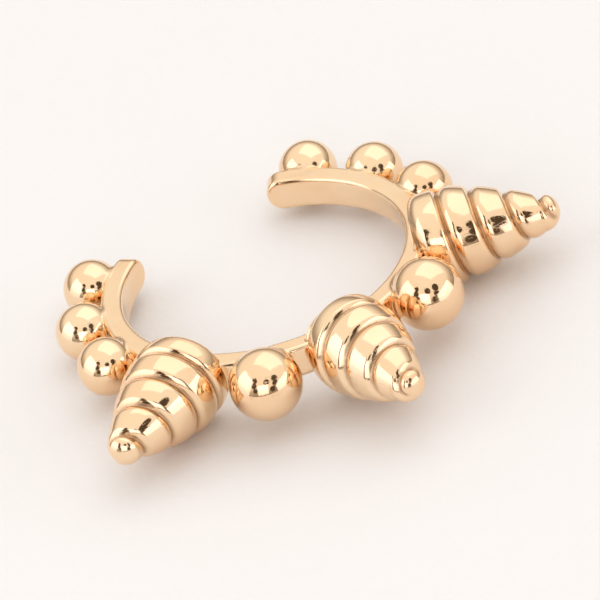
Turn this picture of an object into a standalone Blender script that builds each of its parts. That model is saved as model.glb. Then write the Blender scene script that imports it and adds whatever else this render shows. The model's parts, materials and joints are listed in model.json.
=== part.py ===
"""An open ear cuff, cast in one piece: a C-shaped band that carries ball beads and spiral cones.

The ring is built round the Z axis, with its middle cone towards -Y and its opening towards +Y.
An empty then leans it to the angle at which it lies by itself on a flat surface, and brings the
middle of its footprint to the origin. Lengths are in metres, angles in degrees.
"""

from math import cos, degrees, floor, pi, radians, sin, sqrt, tau

import bmesh
import bpy
from mathutils import Matrix, Vector

MM = 0.001

# The band is a flat strip, bent to an open circle. Its half-round ends reach past the last beads.
BAND_INNER_RADIUS = 4.50 * MM
BAND_THICKNESS = 0.69 * MM
BAND_WIDTH = 1.06 * MM
BAND_CHAMFER = 0.12 * MM
BAND_END_REACH = 1.10 * MM
BAND_FACETS = 47
BAND_END_STEPS = 4
BAND_END_SWEEP = 82.0

# The cones and beads stand round the band, at angles counted from the middle cone.
CONE_SPACING = 61.0
CONE_TO_BEAD = 30.0
BEAD_SPACING = 23.0
SMALL_BEADS_A_SIDE = 3

# Each ball bead is let into the outer face of the band by its sink.
LARGE_BEAD_RADIUS = 1.14 * MM
LARGE_BEAD_SINK = 0.50 * MM
SMALL_BEAD_RADIUS = 0.91 * MM
SMALL_BEAD_SINK = 0.27 * MM
BEAD_SIDES = 16
BEAD_RINGS = 10

# A groove winds round each cone in a right-handed spiral and ends on its round tip. The base narrowing
# is the share of the cone's radius that is lost down at the base. Heights are counted from the base,
# and the first groove's height is that of its place straight above the cone's axis.
CONE_SINK = 0.44 * MM
CONE_LENGTH = 4.53 * MM
CONE_RADIUS = 1.49 * MM
CONE_WIDEST_HEIGHT = 1.07 * MM
BASE_NARROWING = 0.08
TIP_CURVE = 1.45
CONE_SIDES = 24
CONE_ROWS = 38
CONE_BASE_EDGE = 0.10 * MM
GROOVE_PITCH = 1.01 * MM
GROOVE_DEPTH = 0.17 * MM
GROOVE_SHARPNESS = 3.0
FIRST_GROOVE_HEIGHT = 0.99 * MM
GROOVE_END_TURN = 3.50
GROOVE_FADING_TURNS = 0.30
TIP_RADIUS = 0.55 * MM
TIP_RINGS = 5

# Angle above which a mesh edge stays sharp.
SHARP_EDGE = 32.0

# The rest pose is found by halving a range of leans, from minus to plus the widest.
WIDEST_LEAN = 40.0
LEAN_HALVINGS = 60

GOLD = {"Base Color": (0.95, 0.73, 0.45, 1.0), "Metallic": 1.0, "Roughness": 0.10}

BAND_OUTER_RADIUS = BAND_INNER_RADIUS + BAND_THICKNESS
CONE_BASE_DISTANCE = BAND_OUTER_RADIUS - CONE_SINK
CONE_TIP_CENTRE = CONE_LENGTH - TIP_RADIUS
CONE_ANGLES = (-CONE_SPACING, 0.0, CONE_SPACING)
LARGE_BEAD_ANGLES = (-CONE_SPACING / 2, CONE_SPACING / 2)
LAST_BEAD_ANGLE = CONE_SPACING + CONE_TO_BEAD + (SMALL_BEADS_A_SIDE - 1) * BEAD_SPACING


def clear_scene():
    """Remove every object of the open scene."""
    for thing in list(bpy.data.objects):
        bpy.data.objects.remove(thing, do_unlink=True)


def gold_material():
    """Polished gold-coloured metal for the whole cuff."""
    material = bpy.data.materials.new("polished_gold")
    material.use_nodes = True
    shader = material.node_tree.nodes["Principled BSDF"]
    for name, value in GOLD.items():
        shader.inputs[name].default_value = value
    return material


def around_ring(angle):
    """Frame of a place on the ring: Z points out from the ring's centre, X up along its axis."""
    outward = Vector((sin(radians(angle)), -cos(radians(angle)), 0.0))
    up = Vector((0.0, 0.0, 1.0))
    side = outward.cross(up)
    return Matrix((up, side, outward)).transposed().to_4x4()


def small_bead_angles():
    """Angles of the small beads on both sides of the cuff."""
    angles = []
    for count in range(SMALL_BEADS_A_SIDE):
        angle = CONE_SPACING + CONE_TO_BEAD + count * BEAD_SPACING
        angles += [-angle, angle]
    return angles


def band_stations():
    """Angle and half width of each cross-section along the band, from one end to the other."""
    half_width = BAND_WIDTH / 2
    middle_radius = BAND_INNER_RADIUS + BAND_THICKNESS / 2
    run_end = LAST_BEAD_ANGLE + degrees((BAND_END_REACH - half_width) / middle_radius)
    stations = []
    for facet in range(BAND_FACETS + 1):
        stations.append((run_end * (2 * facet / BAND_FACETS - 1), half_width))
    for step in range(1, BAND_END_STEPS + 1):
        turn = radians(BAND_END_SWEEP) * step / BAND_END_STEPS
        angle = run_end + degrees(half_width * sin(turn) / middle_radius)
        stations.append((angle, half_width * cos(turn)))
        stations.insert(0, (-angle, half_width * cos(turn)))
    return stations


def band_section(half_width):
    """Corners of the band's chamfered cross-section, as distance from the axis and height."""
    chamfer = min(BAND_CHAMFER, half_width / 2)
    inner, outer = BAND_INNER_RADIUS, BAND_OUTER_RADIUS
    flat = half_width - chamfer
    lower = [(inner, -flat), (inner + chamfer, -half_width), (outer - chamfer, -half_width), (outer, -flat)]
    upper = [(radius, -height) for radius, height in reversed(lower)]
    return lower + upper


def build_band():
    """The open band, swept round the ring's axis."""
    mesh = bmesh.new()
    rings = []
    for angle, half_width in band_stations():
        outward = around_ring(angle).col[2].to_3d()
        corners = [outward * radius + Vector((0, 0, height)) for radius, height in band_section(half_width)]
        rings.append([mesh.verts.new(corner) for corner in corners])
    for first, second in zip(rings, rings[1:]):
        for i in range(len(first)):
            j = (i + 1) % len(first)
            mesh.faces.new((first[i], first[j], second[j], second[i]))
    mesh.faces.new(rings[0])
    mesh.faces.new(rings[-1])
    bmesh.ops.recalc_face_normals(mesh, faces=mesh.faces)
    return mesh


def build_beads():
    """All ball beads, each on the band's outer face."""
    large = [(angle, LARGE_BEAD_RADIUS, LARGE_BEAD_SINK) for angle in LARGE_BEAD_ANGLES]
    small = [(angle, SMALL_BEAD_RADIUS, SMALL_BEAD_SINK) for angle in small_bead_angles()]
    mesh = bmesh.new()
    for angle, radius, sink in large + small:
        outward = around_ring(angle).col[2].to_3d()
        place = Matrix.Translation(outward * (BAND_OUTER_RADIUS + radius - sink))
        bmesh.ops.create_uvsphere(
            mesh, u_segments=BEAD_SIDES, v_segments=BEAD_RINGS, radius=radius, matrix=place
        )
    return mesh


def cone_outline(height):
    """Radius of the cone without its groove: widest a little over its base, then drawn in to a round tip."""
    if height < CONE_WIDEST_HEIGHT:
        share = 1 - height / CONE_WIDEST_HEIGHT
        return CONE_RADIUS * (1 - BASE_NARROWING * share**2)
    if height < CONE_TIP_CENTRE:
        share = (height - CONE_WIDEST_HEIGHT) / (CONE_TIP_CENTRE - CONE_WIDEST_HEIGHT)
        return CONE_RADIUS - (CONE_RADIUS - TIP_RADIUS) * share**TIP_CURVE
    return sqrt(max(TIP_RADIUS**2 - (height - CONE_TIP_CENTRE) ** 2, 0.0))


def cone_radius(height, turn):
    """Distance of the cone's surface from its axis, at a height and a share of a turn round it."""
    climbed = (height - FIRST_GROOVE_HEIGHT) / GROOVE_PITCH - turn
    nearest = floor(climbed + 0.5)
    from_ridge = 1 - 2 * abs(climbed - nearest)
    turns_left = GROOVE_END_TURN - nearest - turn
    strength = min(max(turns_left / GROOVE_FADING_TURNS, 0.0), 1.0)
    groove = GROOVE_DEPTH * strength * from_ridge**GROOVE_SHARPNESS
    edge = max(CONE_BASE_EDGE - height, 0.0)
    return cone_outline(height) - groove - edge


def cone_heights():
    """Heights of the rows of points over the cone's base, up to the last ring of the round tip."""
    heights = [CONE_TIP_CENTRE * row / CONE_ROWS for row in range(CONE_ROWS + 1)]
    for ring in range(1, TIP_RINGS):
        heights.append(CONE_TIP_CENTRE + TIP_RADIUS * sin(pi / 2 * ring / TIP_RINGS))
    return heights


def add_cone(mesh, angle):
    """Add one spiral cone to the mesh, standing out from the band at an angle round the ring."""
    place = around_ring(angle) @ Matrix.Translation((0, 0, CONE_BASE_DISTANCE))
    rows = []
    for height in cone_heights():
        row = []
        for side in range(CONE_SIDES):
            turn = side / CONE_SIDES
            radius = cone_radius(height, turn)
            point = Vector((radius * cos(tau * turn), radius * sin(tau * turn), height))
            row.append(mesh.verts.new(place @ point))
        rows.append(row)
    base = mesh.verts.new(place @ Vector((0, 0, 0)))
    tip = mesh.verts.new(place @ Vector((0, 0, CONE_LENGTH)))
    for i in range(CONE_SIDES):
        j = (i + 1) % CONE_SIDES
        mesh.faces.new((base, rows[0][j], rows[0][i]))
        mesh.faces.new((rows[-1][i], rows[-1][j], tip))
        for lower, upper in zip(rows, rows[1:]):
            mesh.faces.new((lower[i], lower[j], upper[j], upper[i]))


def build_cones():
    """The spiral cones, all wound the same way."""
    mesh = bmesh.new()
    for angle in CONE_ANGLES:
        add_cone(mesh, angle)
    bmesh.ops.recalc_face_normals(mesh, faces=mesh.faces)
    return mesh


def lowest(points, lean):
    """Height of the lowest point once the ring leans by an angle, its middle cone upwards."""
    return min(point.z * cos(lean) - point.y * sin(lean) for point in points)


def resting_lean(cone_points, bead_points):
    """Angle at which the cones and the beads touch a flat surface together."""
    low, high = -radians(WIDEST_LEAN), radians(WIDEST_LEAN)
    for _ in range(LEAN_HALVINGS):
        middle = (low + high) / 2
        if lowest(cone_points, middle) < lowest(bead_points, middle):
            low = middle
        else:
            high = middle
    return (low + high) / 2


def resting_place(forms):
    """Matrix that lays the ring on the plane Z = 0 with the origin under the middle of its box."""
    points = {name: [vert.co.copy() for vert in mesh.verts] for name, mesh in forms.items()}
    lean = resting_lean(points["cones"], points["beads"])
    turned = Matrix.Rotation(-lean, 4, "X")
    corners = [turned @ point for group in points.values() for point in group]
    middle_x = (min(c.x for c in corners) + max(c.x for c in corners)) / 2
    middle_y = (min(c.y for c in corners) + max(c.y for c in corners)) / 2
    floor_z = min(c.z for c in corners)
    return Matrix.Translation((-middle_x, -middle_y, -floor_z)) @ turned


def add_object(name, mesh, parent):
    """Object made from a bmesh, held by its parent."""
    data = bpy.data.meshes.new(name)
    mesh.to_mesh(data)
    mesh.free()
    thing = bpy.data.objects.new(name, data)
    thing.parent = parent
    bpy.context.collection.objects.link(thing)
    return thing


def fuse(body, form):
    """Join a form to the body as one solid, and keep the form itself out of the model."""
    form.hide_render = True
    form.display_type = "WIRE"
    union = body.modifiers.new(form.name, "BOOLEAN")
    union.operation = "UNION"
    union.solver = "EXACT"
    union.object = form


def main():
    """Build the cuff as one solid, lying as it rests."""
    clear_scene()
    forms = {"band": build_band(), "beads": build_beads(), "cones": build_cones()}

    rest = bpy.data.objects.new("rest_pose", None)
    rest.matrix_world = resting_place(forms)
    bpy.context.collection.objects.link(rest)

    cuff = add_object("ear_cuff", forms["band"], rest)
    cuff.data.materials.append(gold_material())
    fuse(cuff, add_object("bead_forms", forms["beads"], rest))
    fuse(cuff, add_object("cone_forms", forms["cones"], rest))
    cuff.data.shade_smooth()
    cuff.data.set_sharp_from_angle(angle=radians(SHARP_EDGE))


main()
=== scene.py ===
"""Dresses an open ear cuff of polished gold: a cast ring of ball beads with three spiral cones.

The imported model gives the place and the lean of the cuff. Every form is worked out in the ring's own
frame, in millimetres: Z along the ring's axis, the middle cone towards -Y and the opening towards +Y.
"""

import json
import logging
from dataclasses import dataclass
from enum import Enum
from math import cos, pi, radians, sin, tan, tau

import bmesh
import bpy
import numpy as np
from mathutils import Matrix, Vector


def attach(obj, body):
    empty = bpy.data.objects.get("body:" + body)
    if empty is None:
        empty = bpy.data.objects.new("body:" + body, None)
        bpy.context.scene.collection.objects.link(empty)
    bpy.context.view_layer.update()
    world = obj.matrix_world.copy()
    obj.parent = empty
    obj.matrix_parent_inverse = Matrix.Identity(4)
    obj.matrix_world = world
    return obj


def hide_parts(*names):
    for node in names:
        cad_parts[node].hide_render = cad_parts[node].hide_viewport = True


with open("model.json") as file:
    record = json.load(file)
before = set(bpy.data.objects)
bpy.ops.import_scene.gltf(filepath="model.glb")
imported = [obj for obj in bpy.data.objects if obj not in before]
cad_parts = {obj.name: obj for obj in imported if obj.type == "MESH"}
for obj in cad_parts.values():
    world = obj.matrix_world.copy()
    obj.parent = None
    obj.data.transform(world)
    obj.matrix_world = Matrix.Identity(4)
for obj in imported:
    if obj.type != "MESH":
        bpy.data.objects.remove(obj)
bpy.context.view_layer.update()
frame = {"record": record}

Stops = tuple[tuple[float, tuple[float, ...]], ...]

LOG = logging.getLogger("ear_cuff")
MM = 0.001
NODE = "ear_cuff"


class Place(Enum):
    """Where a cone stands on the ring, with its side as a sign."""

    LEFT = -1
    MIDDLE = 0
    RIGHT = 1


class Signal:
    """A shader value that plain arithmetic can be done on. Each operation adds a Math node."""

    def __init__(self, graph: "Graph", socket: bpy.types.NodeSocket | None) -> None:
        """Keep the socket and the graph that it belongs to.

        Args:
            graph: The graph that new nodes go into.
            socket: The output socket that holds the value, or None for a node that has no output.
        """
        self.graph = graph
        self.socket = socket

    def _math(self, operation: str, first: "Signal | float", second: "Signal | float") -> "Signal":
        """One Math node on two values.

        Args:
            operation: The Math node's operation.
            first: Its first value, a signal or a number.
            second: Its second value, a signal or a number.

        Returns:
            The node's result.
        """
        return self.graph.add("ShaderNodeMath", {"operation": operation}, {0: first, 1: second})

    def __add__(self, other: "Signal | float") -> "Signal":
        """Sum."""
        return self._math("ADD", self, other)

    def __sub__(self, other: "Signal | float") -> "Signal":
        """Difference."""
        return self._math("SUBTRACT", self, other)

    def __rsub__(self, other: "Signal | float") -> "Signal":
        """Difference from a number."""
        return self._math("SUBTRACT", other, self)

    def __mul__(self, other: "Signal | float") -> "Signal":
        """Product."""
        return self._math("MULTIPLY", self, other)

    __radd__ = __add__
    __rmul__ = __mul__


class Graph:
    """The node tree of one material or world."""

    def __init__(self, owner: bpy.types.ID) -> None:
        """Empty the owner's node tree and keep it.

        Args:
            owner: A material or a world.
        """
        owner.use_nodes = True
        self.tree = owner.node_tree
        self.tree.nodes.clear()

    def add(
        self, kind: str, settings: dict | None = None, values: dict | None = None, out: int | str = 0
    ) -> Signal:
        """Add a node.

        Args:
            kind: The node's type.
            settings: Its settings, set before its sockets. The key stops sets a ramp's stops.
            values: A number, colour, vector or signal for each named or numbered input.
            out: The output that is wanted.

        Returns:
            The wanted output, as a signal.
        """
        node = self.tree.nodes.new(kind)
        for name, value in (settings or {}).items():
            if name == "stops":
                self._set_stops(node.color_ramp, value)
            else:
                setattr(node, name, value)
        for name, value in (values or {}).items():
            if isinstance(value, Signal):
                self.tree.links.new(value.socket, node.inputs[name])
            else:
                node.inputs[name].default_value = value
        return Signal(self, node.outputs[out] if node.outputs else None)

    @staticmethod
    def _set_stops(ramp: bpy.types.ColorRamp, stops: Stops) -> None:
        """Give a colour ramp its stops.

        Args:
            ramp: The ramp.
            stops: Position and colour of each stop, in order.
        """
        while len(ramp.elements) < len(stops):
            ramp.elements.new(1.0)
        for element, (position, colour) in zip(ramp.elements, stops):
            element.position = position
            element.color = colour

    def point(self, scale: float) -> Signal:
        """Place on the surface in the object's own frame.

        Args:
            scale: What the metres of the object's frame are multiplied by.

        Returns:
            The scaled place, as a vector.
        """
        place = self.add("ShaderNodeTexCoord", out="Object")
        return self.add("ShaderNodeVectorMath", {"operation": "SCALE"}, {0: place, "Scale": scale})

    def noise(self, place: Signal, scale: float, detail: float = 3.0) -> Signal:
        """Soft noise from 0 to 1.

        Args:
            place: Where it is read.
            scale: How many waves there are to a unit.
            detail: How many finer octaves are added.

        Returns:
            The noise.
        """
        values = {"Vector": place, "Scale": scale, "Detail": detail}
        return self.add("ShaderNodeTexNoise", None, values, "Fac")

    def mix(
        self, share: Signal, first: Signal | tuple[float, ...], second: Signal | tuple[float, ...]
    ) -> Signal:
        """Blend of two colours.

        Args:
            share: How much of the second colour there is.
            first: The first colour.
            second: The second colour.

        Returns:
            The blended colour.
        """
        settings = {"data_type": "RGBA", "blend_type": "MIX", "clamp_factor": True}
        return self.add("ShaderNodeMix", settings, {0: share, 6: first, 7: second}, 2)

    def ramp(self, share: Signal, low: float, high: float) -> Signal:
        """Smooth step of a value.

        Args:
            share: The value.
            low: Where the step starts.
            high: Where the step ends.

        Returns:
            A value from 0 to 1.
        """
        settings = {"interpolation_type": "SMOOTHSTEP"}
        values = {"Value": share, "From Min": low, "From Max": high}
        return self.add("ShaderNodeMapRange", settings, values)

    def bump(self, height: Signal, distance: float, normal: Signal | None = None) -> Signal:
        """Normal of a surface with low relief.

        Args:
            height: Height of the relief, in shares of the distance.
            distance: Depth of the relief in metres.
            normal: The normal that it starts from.

        Returns:
            The new normal.
        """
        values = {"Height": height, "Distance": distance}
        if normal is not None:
            values["Normal"] = normal
        return self.add("ShaderNodeBump", None, values)


@dataclass(frozen=True)
class PolishedGold:
    """Mirror-polished pale gold plating over a cast body, with tarnish and painted shade darkening the
    grooves.

    A scale is in waves to the millimetre. A band is where a noise starts to count, and where it counts
    in full.
    """

    name: str = "polished_gold"
    bright: tuple[float, ...] = (0.945, 0.710, 0.470, 1.0)
    warm: tuple[float, ...] = (0.930, 0.645, 0.405, 1.0)
    # Dark brown for the tarnish and painted shade in the grooves and joins.
    shade_and_tarnish_brown: tuple[float, ...] = (0.340, 0.190, 0.095, 1.0)
    tone_scale: float = 0.35
    tone_band: tuple[float, float] = (0.35, 0.70)
    shade_and_tarnish_share: float = 0.75
    shade_and_tarnish_scale: float = 9.0
    shade_and_tarnish_scatter: float = 0.25
    shade_and_tarnish_band: tuple[float, float] = (0.35, 1.05)
    gloss: float = 0.045
    dullness_in_grooves: float = 0.30
    smear: float = 0.070
    smear_scale: float = 1.3
    smear_detail: float = 5.0
    smear_band: tuple[float, float] = (0.42, 0.80)
    ripple_depth: float = 0.012 * MM
    ripple_scale: float = 0.9
    ripple_detail: float = 1.0
    pit_depth: float = 0.0006 * MM
    pit_scale: float = 14.0
    pit_detail: float = 2.0
    pit_band: tuple[float, float] = (0.30, 0.42)
    scratch_depth: float = 0.0008 * MM
    scratch_stretch: tuple[float, float, float] = (0.7, 3.0, 16.0)
    scratch_scale: float = 2.6
    scratch_detail: float = 2.0
    scratch_band: tuple[float, float] = (0.62, 0.72)

    def build(self) -> bpy.types.Material:
        """Make the material.

        Returns:
            The material. It reads the point attribute crevice, which is 1 in the grooves, and darkens
            the colour there with tarnish and painted shade.
        """
        material = bpy.data.materials.new(self.name)
        graph = Graph(material)
        place = graph.point(1.0 / MM)
        crevice = graph.add("ShaderNodeAttribute", {"attribute_name": "crevice"}, None, "Fac")

        tone = graph.ramp(graph.noise(place, self.tone_scale), *self.tone_band)
        # Painted shade and tarnish: the crevice mask, broken up by noise, mixes a dark brown into the
        # colour in the grooves and joins.
        scatter = self.shade_and_tarnish_scatter * (graph.noise(place, self.shade_and_tarnish_scale) - 0.5)
        shade_and_tarnish = graph.ramp(crevice + scatter, *self.shade_and_tarnish_band)
        plating = graph.mix(tone, self.bright, self.warm)
        colour = graph.mix(self.shade_and_tarnish_share * shade_and_tarnish, plating, self.shade_and_tarnish_brown)

        smears = graph.ramp(graph.noise(place, self.smear_scale, self.smear_detail), *self.smear_band)
        roughness = self.gloss + self.smear * smears + self.dullness_in_grooves * shade_and_tarnish

        waves = graph.noise(place, self.ripple_scale, self.ripple_detail)
        rippled = graph.bump(waves, self.ripple_depth)
        pits = graph.ramp(graph.noise(place, self.pit_scale, self.pit_detail), *self.pit_band)
        pitted = graph.bump(pits, self.pit_depth, rippled)
        stretched = {0: place, 1: self.scratch_stretch}
        drawn_out = graph.add("ShaderNodeVectorMath", {"operation": "MULTIPLY"}, stretched)
        hairlines = graph.noise(drawn_out, self.scratch_scale, self.scratch_detail)
        scratched = graph.bump(graph.ramp(hairlines, *self.scratch_band), self.scratch_depth, pitted)

        values = {"Base Color": colour, "Metallic": 1.0, "Roughness": roughness, "Normal": scratched}
        shader = graph.add("ShaderNodeBsdfPrincipled", None, values)
        graph.add("ShaderNodeOutputMaterial", None, {"Surface": shader})
        return material


@dataclass(frozen=True)
class PaleBoard:
    """Matt off-white board for the floor."""

    name: str = "pale_board"
    colour: tuple[float, ...] = (0.86, 0.86, 0.86, 1.0)
    shade: tuple[float, ...] = (0.83, 0.83, 0.83, 1.0)
    mottle_scale: float = 0.05
    grain_scale: float = 4.0
    grain_depth: float = 0.02 * MM
    roughness: float = 0.7

    def build(self) -> bpy.types.Material:
        """Make the material.

        Returns:
            The material.
        """
        material = bpy.data.materials.new(self.name)
        graph = Graph(material)
        place = graph.point(1.0 / MM)
        colour = graph.mix(graph.noise(place, self.mottle_scale), self.colour, self.shade)
        grain = graph.bump(graph.noise(place, self.grain_scale), self.grain_depth)
        values = {"Base Color": colour, "Roughness": self.roughness, "Normal": grain}
        shader = graph.add("ShaderNodeBsdfPrincipled", None, values)
        graph.add("ShaderNodeOutputMaterial", None, {"Surface": shader})
        return material


@dataclass
class Ring:
    """The frame that the whole cuff is built in, and the open band.

    Lengths are in millimetres and angles in degrees, here and in the classes below. The mount is in
    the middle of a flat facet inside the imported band, which takes up the facet angle.
    """

    inner_radius: float = 4.50
    thickness: float = 0.69
    width: float = 1.06
    edge: float = 0.14
    last_bead: float = 137.0
    end_reach: float = 1.10
    facet_angle: float = 6.12
    mount: str = "ear_seat"

    @property
    def outer_radius(self) -> float:
        """Radius of the band's outer face."""
        return self.inner_radius + self.thickness

    @property
    def middle_radius(self) -> float:
        """Radius halfway through the band."""
        return self.inner_radius + self.thickness / 2

    def matrix(self) -> Matrix:
        """Where the ring lies in the model.

        Returns:
            The matrix from the ring's frame, in metres, to the model's.
        """
        mounts = {mount["name"]: mount for mount in frame["record"]["mounts"]}
        seat = mounts[self.mount]
        inward = Vector(seat["axis"]).normalized()
        along = Vector((1.0, 0.0, 0.0))
        axis = along.cross(inward).normalized()
        to_seat = self.inner_radius * cos(radians(self.facet_angle / 2)) * MM
        centre = Vector(seat["pos_m"]) + inward * to_seat
        turned = Matrix((along, inward, axis)).transposed().to_4x4()
        return Matrix.Translation(centre) @ turned

    @property
    def run_end(self) -> float:
        """Length of the band from its middle to where its end starts to round off."""
        return radians(self.last_bead) * self.middle_radius + self.end_reach - self.width / 2

    def band_distance(self, points: np.ndarray) -> np.ndarray:
        """Distance from the band's surface.

        Args:
            points: Places in the ring's frame, a row each.

        Returns:
            The distance of each, negative inside.
        """
        radius = np.hypot(points[:, 0], points[:, 1])
        along = np.abs(np.arctan2(points[:, 0], -points[:, 1])) * self.middle_radius
        past = np.clip(along - self.run_end, 0, None)
        plan = np.hypot(past, points[:, 2]) - self.width / 2 + self.edge
        depth = np.abs(radius - self.middle_radius) - self.thickness / 2 + self.edge
        outside = np.hypot(np.clip(plan, 0, None), np.clip(depth, 0, None))
        return outside + np.minimum(np.maximum(plan, depth), 0) - self.edge

    @staticmethod
    def outward(angle: float) -> np.ndarray:
        """Direction out from the ring's centre.

        Args:
            angle: Angle from the middle cone, in degrees.

        Returns:
            The direction, as a unit vector.
        """
        return np.array((sin(radians(angle)), -cos(radians(angle)), 0.0))


def make_piece(
    name: str,
    points: np.ndarray,
    faces: list[tuple[int, ...]],
    place: Matrix,
    material: bpy.types.Material,
) -> bpy.types.Object:
    """Object from points in the ring's frame.

    Args:
        name: The piece's name.
        points: Its points in millimetres, a row each.
        faces: The points of each face.
        place: The matrix from the ring's frame to the model's.
        material: Its material.

    Returns:
        The object, in the scene.
    """
    mesh = bpy.data.meshes.new(name)
    mesh.from_pydata((points * MM).tolist(), [], faces)
    mesh.transform(place)
    mesh.update()
    mesh.materials.append(material)
    mesh.shade_smooth()
    piece = bpy.data.objects.new(name, mesh)
    bpy.context.scene.collection.objects.link(piece)
    return piece


def set_crevice(piece: bpy.types.Object, depth: np.ndarray) -> None:
    """Store how deep in a groove or corner each point lies, which sets where the tarnish and painted
    shade go.

    Args:
        piece: The piece.
        depth: A value from 0 to 1 for each point.
    """
    layer = piece.data.attributes.new("crevice", "FLOAT", "POINT")
    layer.data.foreach_set("value", depth.astype(np.float32))


def hand_in(piece: bpy.types.Object) -> None:
    """Tie a piece to the model.

    Args:
        piece: The piece.
    """
    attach(piece, "root")
    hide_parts(NODE)
    triangles = sum(len(face.vertices) - 2 for face in piece.data.polygons)
    LOG.info("%s: %d triangles", piece.name, triangles)


@dataclass
class SpiralCone:
    """A cone with a round tip, and a groove that winds up it in a right-handed spiral.

    The place along the groove is counted in turns. Its flanks, and the reach of the tarnish and painted
    shade on each, are in shares of the pitch, and its rounded bottom is a share of each flank. The
    groove's depth, the crown of the whorls between its turns and the reach of the tarnish and painted
    shade beside the band are lengths.
    """

    ring: Ring
    where: Place
    spacing: float = 61.0
    sink: float = 0.44
    length: float = 4.53
    radius: float = 1.49
    widest_height: float = 1.07
    base_narrowing: float = 0.08
    tip_curve: float = 1.45
    tip_radius: float = 0.55
    base_edge: float = 0.10
    pitch: float = 1.01
    first_groove: float = 0.99
    end_turn: float = 3.50
    fading_turns: float = 0.25
    groove_depth: float = 0.155
    steep_flank: float = 0.17
    long_flank: float = 0.36
    rounded_bottom: float = 0.09
    crown: float = 0.035
    long_shade_and_tarnish: float = 0.26
    steep_shade_and_tarnish: float = 0.104
    join_reach: float = 0.13
    sides: int = 168
    rows: int = 330
    tip_rings: int = 24

    @property
    def angle(self) -> float:
        """Angle from the middle cone, in degrees."""
        return self.spacing * self.where.value

    @property
    def tip_centre(self) -> float:
        """Height of the round tip's centre over the base."""
        return self.length - self.tip_radius

    def outline(self, height: np.ndarray) -> np.ndarray:
        """Radius of the cone without its groove.

        Args:
            height: Heights over the base.

        Returns:
            A radius for each height.
        """
        below = np.clip(1 - height / self.widest_height, 0, 1)
        above = np.clip((height - self.widest_height) / (self.tip_centre - self.widest_height), 0, 1)
        cone = self.radius * (1 - self.base_narrowing * below**2)
        cone -= (self.radius - self.tip_radius) * above**self.tip_curve
        tip = np.sqrt(np.clip(self.tip_radius**2 - (height - self.tip_centre) ** 2, 0, None))
        return np.where(height > self.tip_centre, tip, cone)

    def strength(self, groove: np.ndarray) -> np.ndarray:
        """How much of the groove is left, which fades out on the tip.

        Args:
            groove: Places along the groove, in turns.

        Returns:
            A share from 0 to 1 for each.
        """
        left = np.clip((self.end_turn - groove) / self.fading_turns, 0, 1)
        return left * left * (3 - 2 * left)

    def flank(self, along: np.ndarray) -> np.ndarray:
        """Depth of the groove across one flank, with a rounded bottom.

        Args:
            along: Places across the flank, from 0 at the bottom to 1 at the edge.

        Returns:
            The share of the full depth at each.
        """
        left = np.clip(1 - np.hypot(along, self.rounded_bottom), 0, 1)
        return (left / (1 - self.rounded_bottom)) ** 2

    def surface(self, height: np.ndarray, turn: np.ndarray) -> tuple[np.ndarray, np.ndarray]:
        """Distance of the surface from the cone's axis.

        Args:
            height: Heights over the base.
            turn: Places round the axis, in shares of a turn.

        Returns:
            The distance at each point, and how much tarnish and painted shade the groove gives it.
        """
        climbed = (height - self.first_groove) / self.pitch - turn
        whorl = np.floor(climbed)
        share = climbed - whorl
        below, above = self.strength(whorl + turn), self.strength(whorl + 1 + turn)
        long_flank = self.flank(share / self.long_flank)
        steep_flank = self.flank((1 - share) / self.steep_flank)
        groove = self.groove_depth * (below * long_flank + above * steep_flank)
        crown = self.crown * below * np.sin(pi * share)
        edge = np.clip(self.base_edge - height, 0, None)
        rounding = self.base_edge - np.sqrt(self.base_edge**2 - edge**2)
        # Tarnish and painted shade, strongest at the bottom of the groove and fading up each flank.
        long_shade_and_tarnish = below * np.clip(1 - share / self.long_shade_and_tarnish, 0, 1)
        steep_shade_and_tarnish = above * np.clip(1 - (1 - share) / self.steep_shade_and_tarnish, 0, 1)
        distance = self.outline(height) - groove + crown - rounding
        return distance, np.maximum(long_shade_and_tarnish, steep_shade_and_tarnish)

    def heights(self) -> np.ndarray:
        """Heights of the rows of points.

        Returns:
            The heights, from the base to the last ring of the tip.
        """
        body = self.tip_centre * np.arange(self.rows + 1) / self.rows
        rings = np.arange(1, self.tip_rings) / self.tip_rings
        return np.concatenate((body, self.tip_centre + self.tip_radius * np.sin(pi / 2 * rings)))

    def points(self) -> tuple[np.ndarray, np.ndarray]:
        """Points of the cone in the ring's frame.

        Returns:
            The points row by row, then the middle of the base and the tip, and how grimy each is.
        """
        height, turn = np.meshgrid(self.heights(), np.arange(self.sides) / self.sides, indexing="ij")
        distance, shade_and_tarnish = self.surface(height, turn)
        up = np.array((0.0, 0.0, 1.0))
        out = Ring.outward(self.angle)
        side = np.cross(out, up)
        foot = out * (self.ring.outer_radius - self.sink)
        lift, sway = distance * np.cos(tau * turn), distance * np.sin(tau * turn)
        grid = foot + height[..., None] * out + lift[..., None] * up + sway[..., None] * side
        points = np.vstack((grid.reshape(-1, 3), foot, foot + self.length * out))
        shade_and_tarnish = np.concatenate((shade_and_tarnish.ravel(), (0.0, 0.0)))
        # Tarnish and painted shade also where the cone meets the band.
        beside_band = np.clip(1 - self.ring.band_distance(points) / self.join_reach, 0, 1)
        return points, np.maximum(shade_and_tarnish, beside_band)

    def faces(self) -> list[tuple[int, ...]]:
        """Faces between the rows, and fans that close both ends.

        Returns:
            The points of each face.
        """
        rows = self.rows + self.tip_rings
        base, tip = rows * self.sides, rows * self.sides + 1
        faces = []
        for i in range(self.sides):
            j = (i + 1) % self.sides
            faces.append((base, j, i))
            for row in range(rows - 1):
                low = row * self.sides
                faces.append((low + i, low + j, low + self.sides + j, low + self.sides + i))
            faces.append(((rows - 1) * self.sides + i, (rows - 1) * self.sides + j, tip))
        return faces

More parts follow.
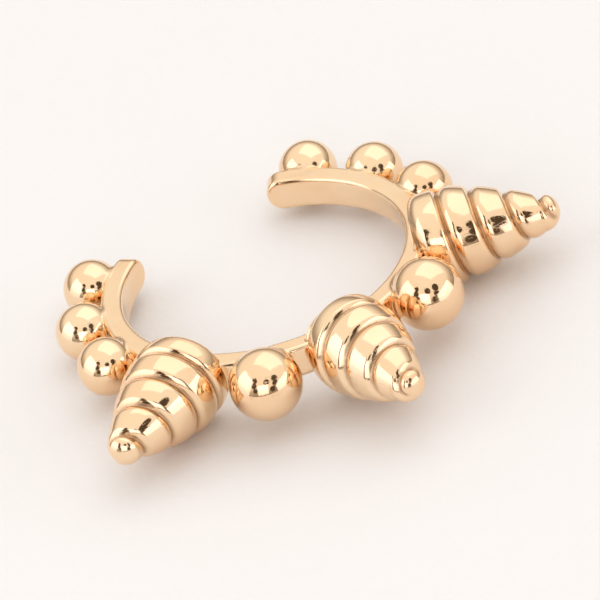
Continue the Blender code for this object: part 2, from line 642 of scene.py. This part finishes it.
    def build(self, place: Matrix, material: bpy.types.Material) -> bpy.types.Object:
        """Make the cone and tie it to the model.

        Args:
            place: The matrix from the ring's frame to the model's.
            material: Its material.

        Returns:
            The piece.
        """
        points, shade_and_tarnish = self.points()
        name = f"spiral_cone_{self.where.name.lower()}"
        piece = make_piece(name, points, self.faces(), place, material)
        set_crevice(piece, shade_and_tarnish)
        hand_in(piece)
        return piece


@dataclass
class CastRing:
    """The open band with its ball beads, cast in one with a soft fillet round each bead.

    Its surface is a distance field. A rough skin is drawn on to it in a few steps along the slope.
    """

    ring: Ring
    cone_spacing: float = 61.0
    cone_to_bead: float = 30.0
    bead_spacing: float = 23.0
    beads_a_side: int = 3
    large_radius: float = 1.14
    large_sink: float = 0.50
    small_radius: float = 0.91
    small_sink: float = 0.27
    fillet: float = 0.16
    shade_and_tarnish_reach: float = 0.12
    ripple: float = 0.006
    ripple_across: tuple[float, float, float] = (2.1, 1.3, 2.9)
    ripple_along: tuple[float, float, float] = (-1.7, 2.6, 1.1)
    ripple_shift: float = 0.7
    slope_step: float = 1e-4
    slices: int = 220
    bead_detail: int = 4
    voxel: float = 0.055
    steps: int = 6

    def beads(self) -> list[tuple[np.ndarray, float]]:
        """Centre and radius of each bead.

        Returns:
            The beads, large ones first.
        """
        half = self.cone_spacing / 2
        rows = [(sign * half, self.large_radius, self.large_sink) for sign in (-1, 1)]
        for count in range(self.beads_a_side):
            angle = self.cone_spacing + self.cone_to_bead + count * self.bead_spacing
            rows += [(sign * angle, self.small_radius, self.small_sink) for sign in (-1, 1)]
        outer = self.ring.outer_radius
        return [(Ring.outward(angle) * (outer + radius - sink), radius) for angle, radius, sink in rows]

    def distance(self, points: np.ndarray) -> np.ndarray:
        """Distance from the cast surface, with the fillets.

        Args:
            points: Places in the ring's frame, a row each.

        Returns:
            The distance of each, negative inside.
        """
        total = self.ring.band_distance(points)
        for centre, radius in self.beads():
            bead = np.linalg.norm(points - centre, axis=1) - radius
            blend = np.clip(self.fillet - np.abs(total - bead), 0, None) / self.fillet
            total = np.minimum(total, bead) - blend**3 * self.fillet / 6
        across = np.sin(points @ self.ripple_across + self.ripple_shift)
        return total - self.ripple * across * np.sin(points @ self.ripple_along)

    def normals(self, points: np.ndarray) -> np.ndarray:
        """Slope of the distance.

        Args:
            points: Places in the ring's frame, a row each.

        Returns:
            The slope at each, pointing out of the metal.
        """
        slopes = []
        for step in np.eye(3) * self.slope_step:
            rise = self.distance(points + step) - self.distance(points - step)
            slopes.append(rise / (2 * self.slope_step))
        return np.stack(slopes, 1)

    def rough_form(self) -> bpy.types.Object:
        """Band and beads as overlapping shells, remeshed to one even skin.

        Returns:
            An object in millimetres, in the ring's frame.
        """
        half_width, half_depth = self.ring.width / 2, self.ring.thickness / 2
        reach = (self.ring.run_end + half_width) / self.ring.middle_radius
        corners = ((-half_depth, -half_width), (half_depth, -half_width))
        corners += ((half_depth, half_width), (-half_depth, half_width))
        form = bmesh.new()
        sections = []
        for angle in np.linspace(-reach, reach, self.slices):
            section = []
            for depth, height in corners:
                radius = self.ring.middle_radius + depth
                section.append(form.verts.new((radius * sin(angle), -radius * cos(angle), height)))
            sections.append(section)
        for near, far in zip(sections, sections[1:]):
            for i in range(len(corners)):
                j = (i + 1) % len(corners)
                form.faces.new((near[i], far[i], far[j], near[j]))
        form.faces.new(sections[0])
        form.faces.new(sections[-1][::-1])
        for centre, radius in self.beads():
            spot = Matrix.Translation(Vector(centre))
            bmesh.ops.create_icosphere(form, subdivisions=self.bead_detail, radius=radius, matrix=spot)
        bmesh.ops.recalc_face_normals(form, faces=form.faces)
        mesh = bpy.data.meshes.new("rough_form")
        form.to_mesh(mesh)
        form.free()
        rough = bpy.data.objects.new("rough_form", mesh)
        bpy.context.scene.collection.objects.link(rough)
        remesh = rough.modifiers.new("skin", "REMESH")
        remesh.mode = "VOXEL"
        remesh.voxel_size = self.voxel
        return rough

    def build(self, place: Matrix, material: bpy.types.Material) -> bpy.types.Object:
        """Make the cast ring and tie it to the model.

        Args:
            place: The matrix from the ring's frame to the model's.
            material: Its material.

        Returns:
            The piece.
        """
        rough = self.rough_form()
        skin = rough.evaluated_get(bpy.context.evaluated_depsgraph_get()).to_mesh()
        points = np.empty(len(skin.vertices) * 3)
        skin.vertices.foreach_get("co", points)
        points = points.reshape(-1, 3)
        faces = np.empty(len(skin.polygons) * 4, np.int32)
        skin.polygons.foreach_get("vertices", faces)
        bpy.data.objects.remove(rough, do_unlink=True)
        for _ in range(self.steps):
            slope = self.normals(points)
            points = points - slope * (self.distance(points) / np.sum(slope**2, 1))[:, None]
        slope = self.normals(points)
        piece = make_piece("cast_ring", points, faces.reshape(-1, 4).tolist(), place, material)
        outward = slope / np.linalg.norm(slope, axis=1, keepdims=True)
        turned = outward @ np.array(place.to_3x3()).T
        piece.data.normals_split_custom_set_from_vertices(turned.tolist())
        # Tarnish and painted shade in the corners where the band meets the beads, fading out over the
        # reach.
        band = self.ring.band_distance(points)
        to_beads = [np.linalg.norm(points - centre, axis=1) - radius for centre, radius in self.beads()]
        corner = np.maximum(band, np.min(to_beads, 0))
        set_crevice(piece, np.clip(1 - corner / self.shade_and_tarnish_reach, 0, 1))
        hand_in(piece)
        return piece


@dataclass(frozen=True)
class Softbox:
    """A square soft light that faces the cuff.

    Its place is given as seen from the camera: so many degrees to the right of it and above it.
    """

    name: str
    right: float
    above: float
    spread: float
    glow: float
    colour: tuple[float, float, float] = (1.0, 0.95, 1.05)
    distance: float = 300.0


@dataclass
class Studio:
    """Floor, lights and camera.

    Turn, tilt and roll are the main view's angle to the ring. Each dark thing is so many degrees to
    the right of the camera and above it, and so many from its middle to its edge. The sky goes from
    straight down to straight up.
    """

    place: Matrix
    turn: float = 20.3
    tilt: float = 31.9
    roll: float = 18.1
    distance: float = 600.0
    field_width: float = 18.4
    aim: tuple[float, float] = (1.0, -0.65)
    sensor: float = 36.0
    clip: tuple[float, float] = (0.01, 10.0)
    floor_radius: float = 900.0
    floor_sides: int = 96
    floor_drop: float = 0.01
    softboxes: tuple[Softbox, ...] = (
        Softbox("right_softbox", 68.0, -6.0, 60.0, 1.15),
        Softbox("front_softbox", -8.0, -18.0, 32.0, 1.1),
        Softbox("left_softbox", -70.0, 0.0, 50.0, 0.85),
        Softbox("top_softbox", 20.0, 78.0, 56.0, 0.40),
    )
    dark_things: tuple[tuple[float, float, float], ...] = (
        (0.0, 7.0, 8.0),
        (25.0, 19.0, 9.0),
        (28.0, 3.0, 8.0),
        (23.0, -15.0, 8.0),
        (-36.0, 10.0, 7.0),
        (-38.0, -4.0, 8.0),
        (-33.0, -20.0, 7.0),
    )
    dark_edge: float = 2.0
    dark_colour: tuple[float, ...] = (0.085, 0.062, 0.042, 1.0)
    sky: Stops = (
        (0.00, (0.55, 0.52, 0.48, 1.0)),
        (0.50, (0.30, 0.26, 0.22, 1.0)),
        (0.58, (0.42, 0.37, 0.32, 1.0)),
        (0.72, (0.92, 0.88, 0.82, 1.0)),
        (1.00, (0.98, 0.94, 0.88, 1.0)),
    )
    sky_strength: float = 1.12

    def view_axes(self) -> tuple[Vector, Vector, Vector]:
        """Directions of the main view in the model.

        Returns:
            Right, up, and towards the camera.
        """
        turn, tilt, roll = radians(self.turn), radians(self.tilt), radians(self.roll)
        along = Vector((cos(turn), -sin(turn), 0.0))
        away = Vector((sin(turn), cos(turn), 0.0))
        axis = Vector((0.0, 0.0, 1.0))
        back = axis * sin(tilt) - away * cos(tilt)
        rise = axis * cos(tilt) + away * sin(tilt)
        right = along * cos(roll) - rise * sin(roll)
        up = along * sin(roll) + rise * cos(roll)
        turned = self.place.to_3x3()
        return turned @ right, turned @ up, turned @ back

    def seen_at(self, right: float, above: float) -> Vector:
        """Direction from the cuff to a place in the studio.

        Args:
            right: Degrees to the right of the camera.
            above: Degrees above the camera.

        Returns:
            The direction.
        """
        across, up, back = self.view_axes()
        level = back * cos(radians(right)) + across * sin(radians(right))
        return level * cos(radians(above)) + up * sin(radians(above))

    def build_camera(self) -> None:
        """Camera at the main view's angle to the ring."""
        right, up, back = self.view_axes()
        target = self.place.translation + (right * self.aim[0] + up * self.aim[1]) * MM
        data = bpy.data.cameras.new("camera")
        data.sensor_width = self.sensor
        data.lens = self.sensor * self.distance / self.field_width
        data.clip_start, data.clip_end = self.clip
        camera = bpy.data.objects.new("camera", data)
        bpy.context.scene.collection.objects.link(camera)
        turned = Matrix((right, up, back)).transposed().to_4x4()
        camera.matrix_world = Matrix.Translation(target + back * self.distance * MM) @ turned
        bpy.context.scene.camera = camera

    def build_floor(self) -> None:
        """Round floor board under the cuff."""
        radius = self.floor_radius * MM
        turns = [tau * i / self.floor_sides for i in range(self.floor_sides)]
        points = [(radius * cos(turn), radius * sin(turn), -self.floor_drop * MM) for turn in turns]
        mesh = bpy.data.meshes.new("floor")
        mesh.from_pydata(points, [], [tuple(range(self.floor_sides))])
        mesh.materials.append(PaleBoard().build())
        floor = bpy.data.objects.new("floor", mesh)
        bpy.context.scene.collection.objects.link(floor)

    def add_softbox(self, box: Softbox) -> None:
        """Put up one softbox.

        Args:
            box: The softbox.
        """
        size = 2 * box.distance * tan(radians(box.spread / 2)) * MM
        data = bpy.data.lights.new(box.name, "AREA")
        data.shape = "SQUARE"
        data.size = size
        data.energy = box.glow * pi * size**2
        data.color = box.colour
        light = bpy.data.objects.new(box.name, data)
        bpy.context.scene.collection.objects.link(light)
        direction = self.seen_at(box.right, box.above)
        light.location = self.place.translation + direction * box.distance * MM
        light.rotation_euler = direction.to_track_quat("Z", "Y").to_euler()
        light.visible_camera = False

    def build_world(self) -> None:
        """Pale studio all round, with a dim horizon and dark things that stand about the camera."""
        world = bpy.data.worlds.new("studio")
        bpy.context.scene.world = world
        graph = Graph(world)
        way = graph.add("ShaderNodeTexCoord", out="Generated")
        height = graph.add("ShaderNodeSeparateXYZ", None, {"Vector": way}, "Z")
        shade = graph.add("ShaderNodeValToRGB", {"stops": self.sky}, {"Fac": height * 0.5 + 0.5})
        for right, above, half in self.dark_things:
            both = {0: way, 1: tuple(self.seen_at(right, above))}
            close = graph.add("ShaderNodeVectorMath", {"operation": "DOT_PRODUCT"}, both, "Value")
            patch = graph.ramp(close, cos(radians(half + self.dark_edge)), cos(radians(half)))
            shade = graph.mix(patch, shade, self.dark_colour)
        light = graph.add("ShaderNodeBackground", None, {"Color": shade, "Strength": self.sky_strength})
        graph.add("ShaderNodeOutputWorld", None, {"Surface": light})

    def build(self) -> None:
        """Build the whole studio."""
        self.build_world()
        self.build_floor()
        self.build_camera()
        for box in self.softboxes:
            self.add_softbox(box)
        LOG.info("studio: floor, camera and %d softboxes", len(self.softboxes))


def main() -> None:
    """Build the cuff and the studio."""
    logging.basicConfig(level=logging.INFO, format="%(name)s: %(message)s")
    bpy.context.scene.view_settings.view_transform = "Standard"
    ring = Ring()
    place = ring.matrix()
    gold = PolishedGold().build()
    CastRing(ring).build(place, gold)
    for where in Place:
        SpiralCone(ring, where).build(place, gold)
    Studio(place).build()


if __name__ == "__main__":
    main()
